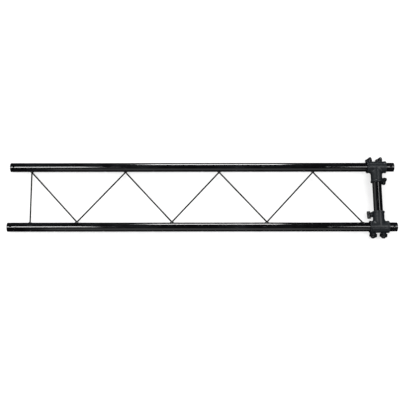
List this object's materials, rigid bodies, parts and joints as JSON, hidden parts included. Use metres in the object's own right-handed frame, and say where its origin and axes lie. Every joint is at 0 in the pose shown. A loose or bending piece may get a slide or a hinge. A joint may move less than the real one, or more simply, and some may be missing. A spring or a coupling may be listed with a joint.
{
  "type": "lighting truss section",
  "caption": "Flat two-chord tubular truss section with zigzag rod lacing and a sliding clamp-on coupler at one end that joins it to the next section.",
  "frame": {"origin": "under the middle of the section, level with the lowest point of the clamp knobs, which the part rests on at its coupler end", "axes": "+X along the chord tubes towards the coupler end, +Y across them from the lower chord to the upper, +Z square to the truss plane, away from the surface the truss lies on"},
  "size_m": [1.5, 0.3261, 0.0602],
  "materials": {
    "painted_steel": "gloss black powder coat",
    "bracket_nylon": "matt moulded, dark blue-grey",
    "knob_nylon": "satin moulded, near black",
    "zinc_steel": "bright zinc plate",
    "pad_plastic": "moulded, off-white"
  },
  "bodies": {
    "frame": {"upper_chord_tube": "painted_steel", "lower_chord_tube": "painted_steel", "end_strut": "painted_steel", "diagonal_1": "painted_steel", "diagonal_2": "painted_steel", "diagonal_3": "painted_steel", "diagonal_4": "painted_steel", "diagonal_5": "painted_steel", "diagonal_6": "painted_steel", "diagonal_7": "painted_steel"},
    "coupler": {"upper_bracket": "bracket_nylon", "lower_bracket": "bracket_nylon", "upper_left_nut": "zinc_steel", "upper_right_nut": "zinc_steel", "upper_post_nut": "zinc_steel", "lower_left_nut": "zinc_steel", "lower_right_nut": "zinc_steel", "lower_post_nut": "zinc_steel"},
    "post": {"coupler_post": "painted_steel"},
    "upper_left_pad": {"upper_left_pad": "pad_plastic"},
    "upper_left_screw": {"upper_left_knob": "knob_nylon", "upper_left_stud": "zinc_steel"},
    "upper_right_pad": {"upper_right_pad": "pad_plastic"},
    "upper_right_screw": {"upper_right_knob": "knob_nylon", "upper_right_stud": "zinc_steel"},
    "upper_post_pad": {"upper_post_pad": "pad_plastic"},
    "upper_post_screw": {"upper_post_knob": "knob_nylon", "upper_post_stud": "zinc_steel"},
    "lower_left_pad": {"lower_left_pad": "pad_plastic"},
    "lower_left_screw": {"lower_left_knob": "knob_nylon", "lower_left_stud": "zinc_steel"},
    "lower_right_pad": {"lower_right_pad": "pad_plastic"},
    "lower_right_screw": {"lower_right_knob": "knob_nylon", "lower_right_stud": "zinc_steel"},
    "lower_post_pad": {"lower_post_pad": "pad_plastic"},
    "lower_post_screw": {"lower_post_knob": "knob_nylon", "lower_post_stud": "zinc_steel"}
  },
  "joints": [
    {"name": "coupler_slide", "type": "slide", "parent": "frame", "child": "coupler", "axis": [1, 0, 0], "range_m": [-0.015, 0.068]},
    {"name": "post_turn", "type": "hinge", "parent": "coupler", "child": "post", "pos_m": [0.682, 0, 0.03644], "axis": [0, 1, 0], "continuous": true},
    {"name": "upper_left_pad_slide", "type": "slide", "parent": "coupler", "child": "upper_left_pad", "axis": [0, 0.8387, -0.5446], "range_m": [0, 0.0021]},
    {"name": "upper_left_screw_turn", "type": "hinge", "parent": "upper_left_pad", "child": "upper_left_screw", "pos_m": [0.662, 0.1185, 0.03644], "axis": [0, 0.8387, -0.5446], "range_deg": [0, 576]},
    {"name": "upper_right_pad_slide", "type": "slide", "parent": "coupler", "child": "upper_right_pad", "axis": [0, 0.8387, -0.5446], "range_m": [0, 0.0021]},
    {"name": "upper_right_screw_turn", "type": "hinge", "parent": "upper_right_pad", "child": "upper_right_screw", "pos_m": [0.702, 0.1185, 0.03644], "axis": [0, 0.8387, -0.5446], "range_deg": [0, 576]},
    {"name": "upper_post_pad_slide", "type": "slide", "parent": "coupler", "child": "upper_post_pad", "axis": [0.8387, 0, -0.5446], "range_m": [0, 0.0021]},
    {"name": "upper_post_screw_turn", "type": "hinge", "parent": "upper_post_pad", "child": "upper_post_screw", "pos_m": [0.682, 0.068, 0.03644], "axis": [0.8387, 0, -0.5446], "range_deg": [0, 576]},
    {"name": "lower_left_pad_slide", "type": "slide", "parent": "coupler", "child": "lower_left_pad", "axis": [0, -0.8387, -0.5446], "range_m": [0, 0.0021]},
    {"name": "lower_left_screw_turn", "type": "hinge", "parent": "lower_left_pad", "child": "lower_left_screw", "pos_m": [0.662, -0.1185, 0.03644], "axis": [0, -0.8387, -0.5446], "range_deg": [0, 576]},
    {"name": "lower_right_pad_slide", "type": "slide", "parent": "coupler", "child": "lower_right_pad", "axis": [0, -0.8387, -0.5446], "range_m": [0, 0.0021]},
    {"name": "lower_right_screw_turn", "type": "hinge", "parent": "lower_right_pad", "child": "lower_right_screw", "pos_m": [0.702, -0.1185, 0.03644], "axis": [0, -0.8387, -0.5446], "range_deg": [0, 576]},
    {"name": "lower_post_pad_slide", "type": "slide", "parent": "coupler", "child": "lower_post_pad", "axis": [-0.8387, 0, -0.5446], "range_m": [0, 0.0021]},
    {"name": "lower_post_screw_turn", "type": "hinge", "parent": "lower_post_pad", "child": "lower_post_screw", "pos_m": [0.682, -0.068, 0.03644], "axis": [-0.8387, 0, -0.5446], "range_deg": [0, 576]}
  ],
  "couplings": [
    {"joint": "upper_left_pad_slide", "follows": "upper_left_screw_turn", "m_per_rad": 0.00019894},
    {"joint": "upper_right_pad_slide", "follows": "upper_right_screw_turn", "m_per_rad": 0.00019894},
    {"joint": "upper_post_pad_slide", "follows": "upper_post_screw_turn", "m_per_rad": 0.00019894},
    {"joint": "lower_left_pad_slide", "follows": "lower_left_screw_turn", "m_per_rad": 0.00019894},
    {"joint": "lower_right_pad_slide", "follows": "lower_right_screw_turn", "m_per_rad": 0.00019894},
    {"joint": "lower_post_pad_slide", "follows": "lower_post_screw_turn", "m_per_rad": 0.00019894}
  ]
}
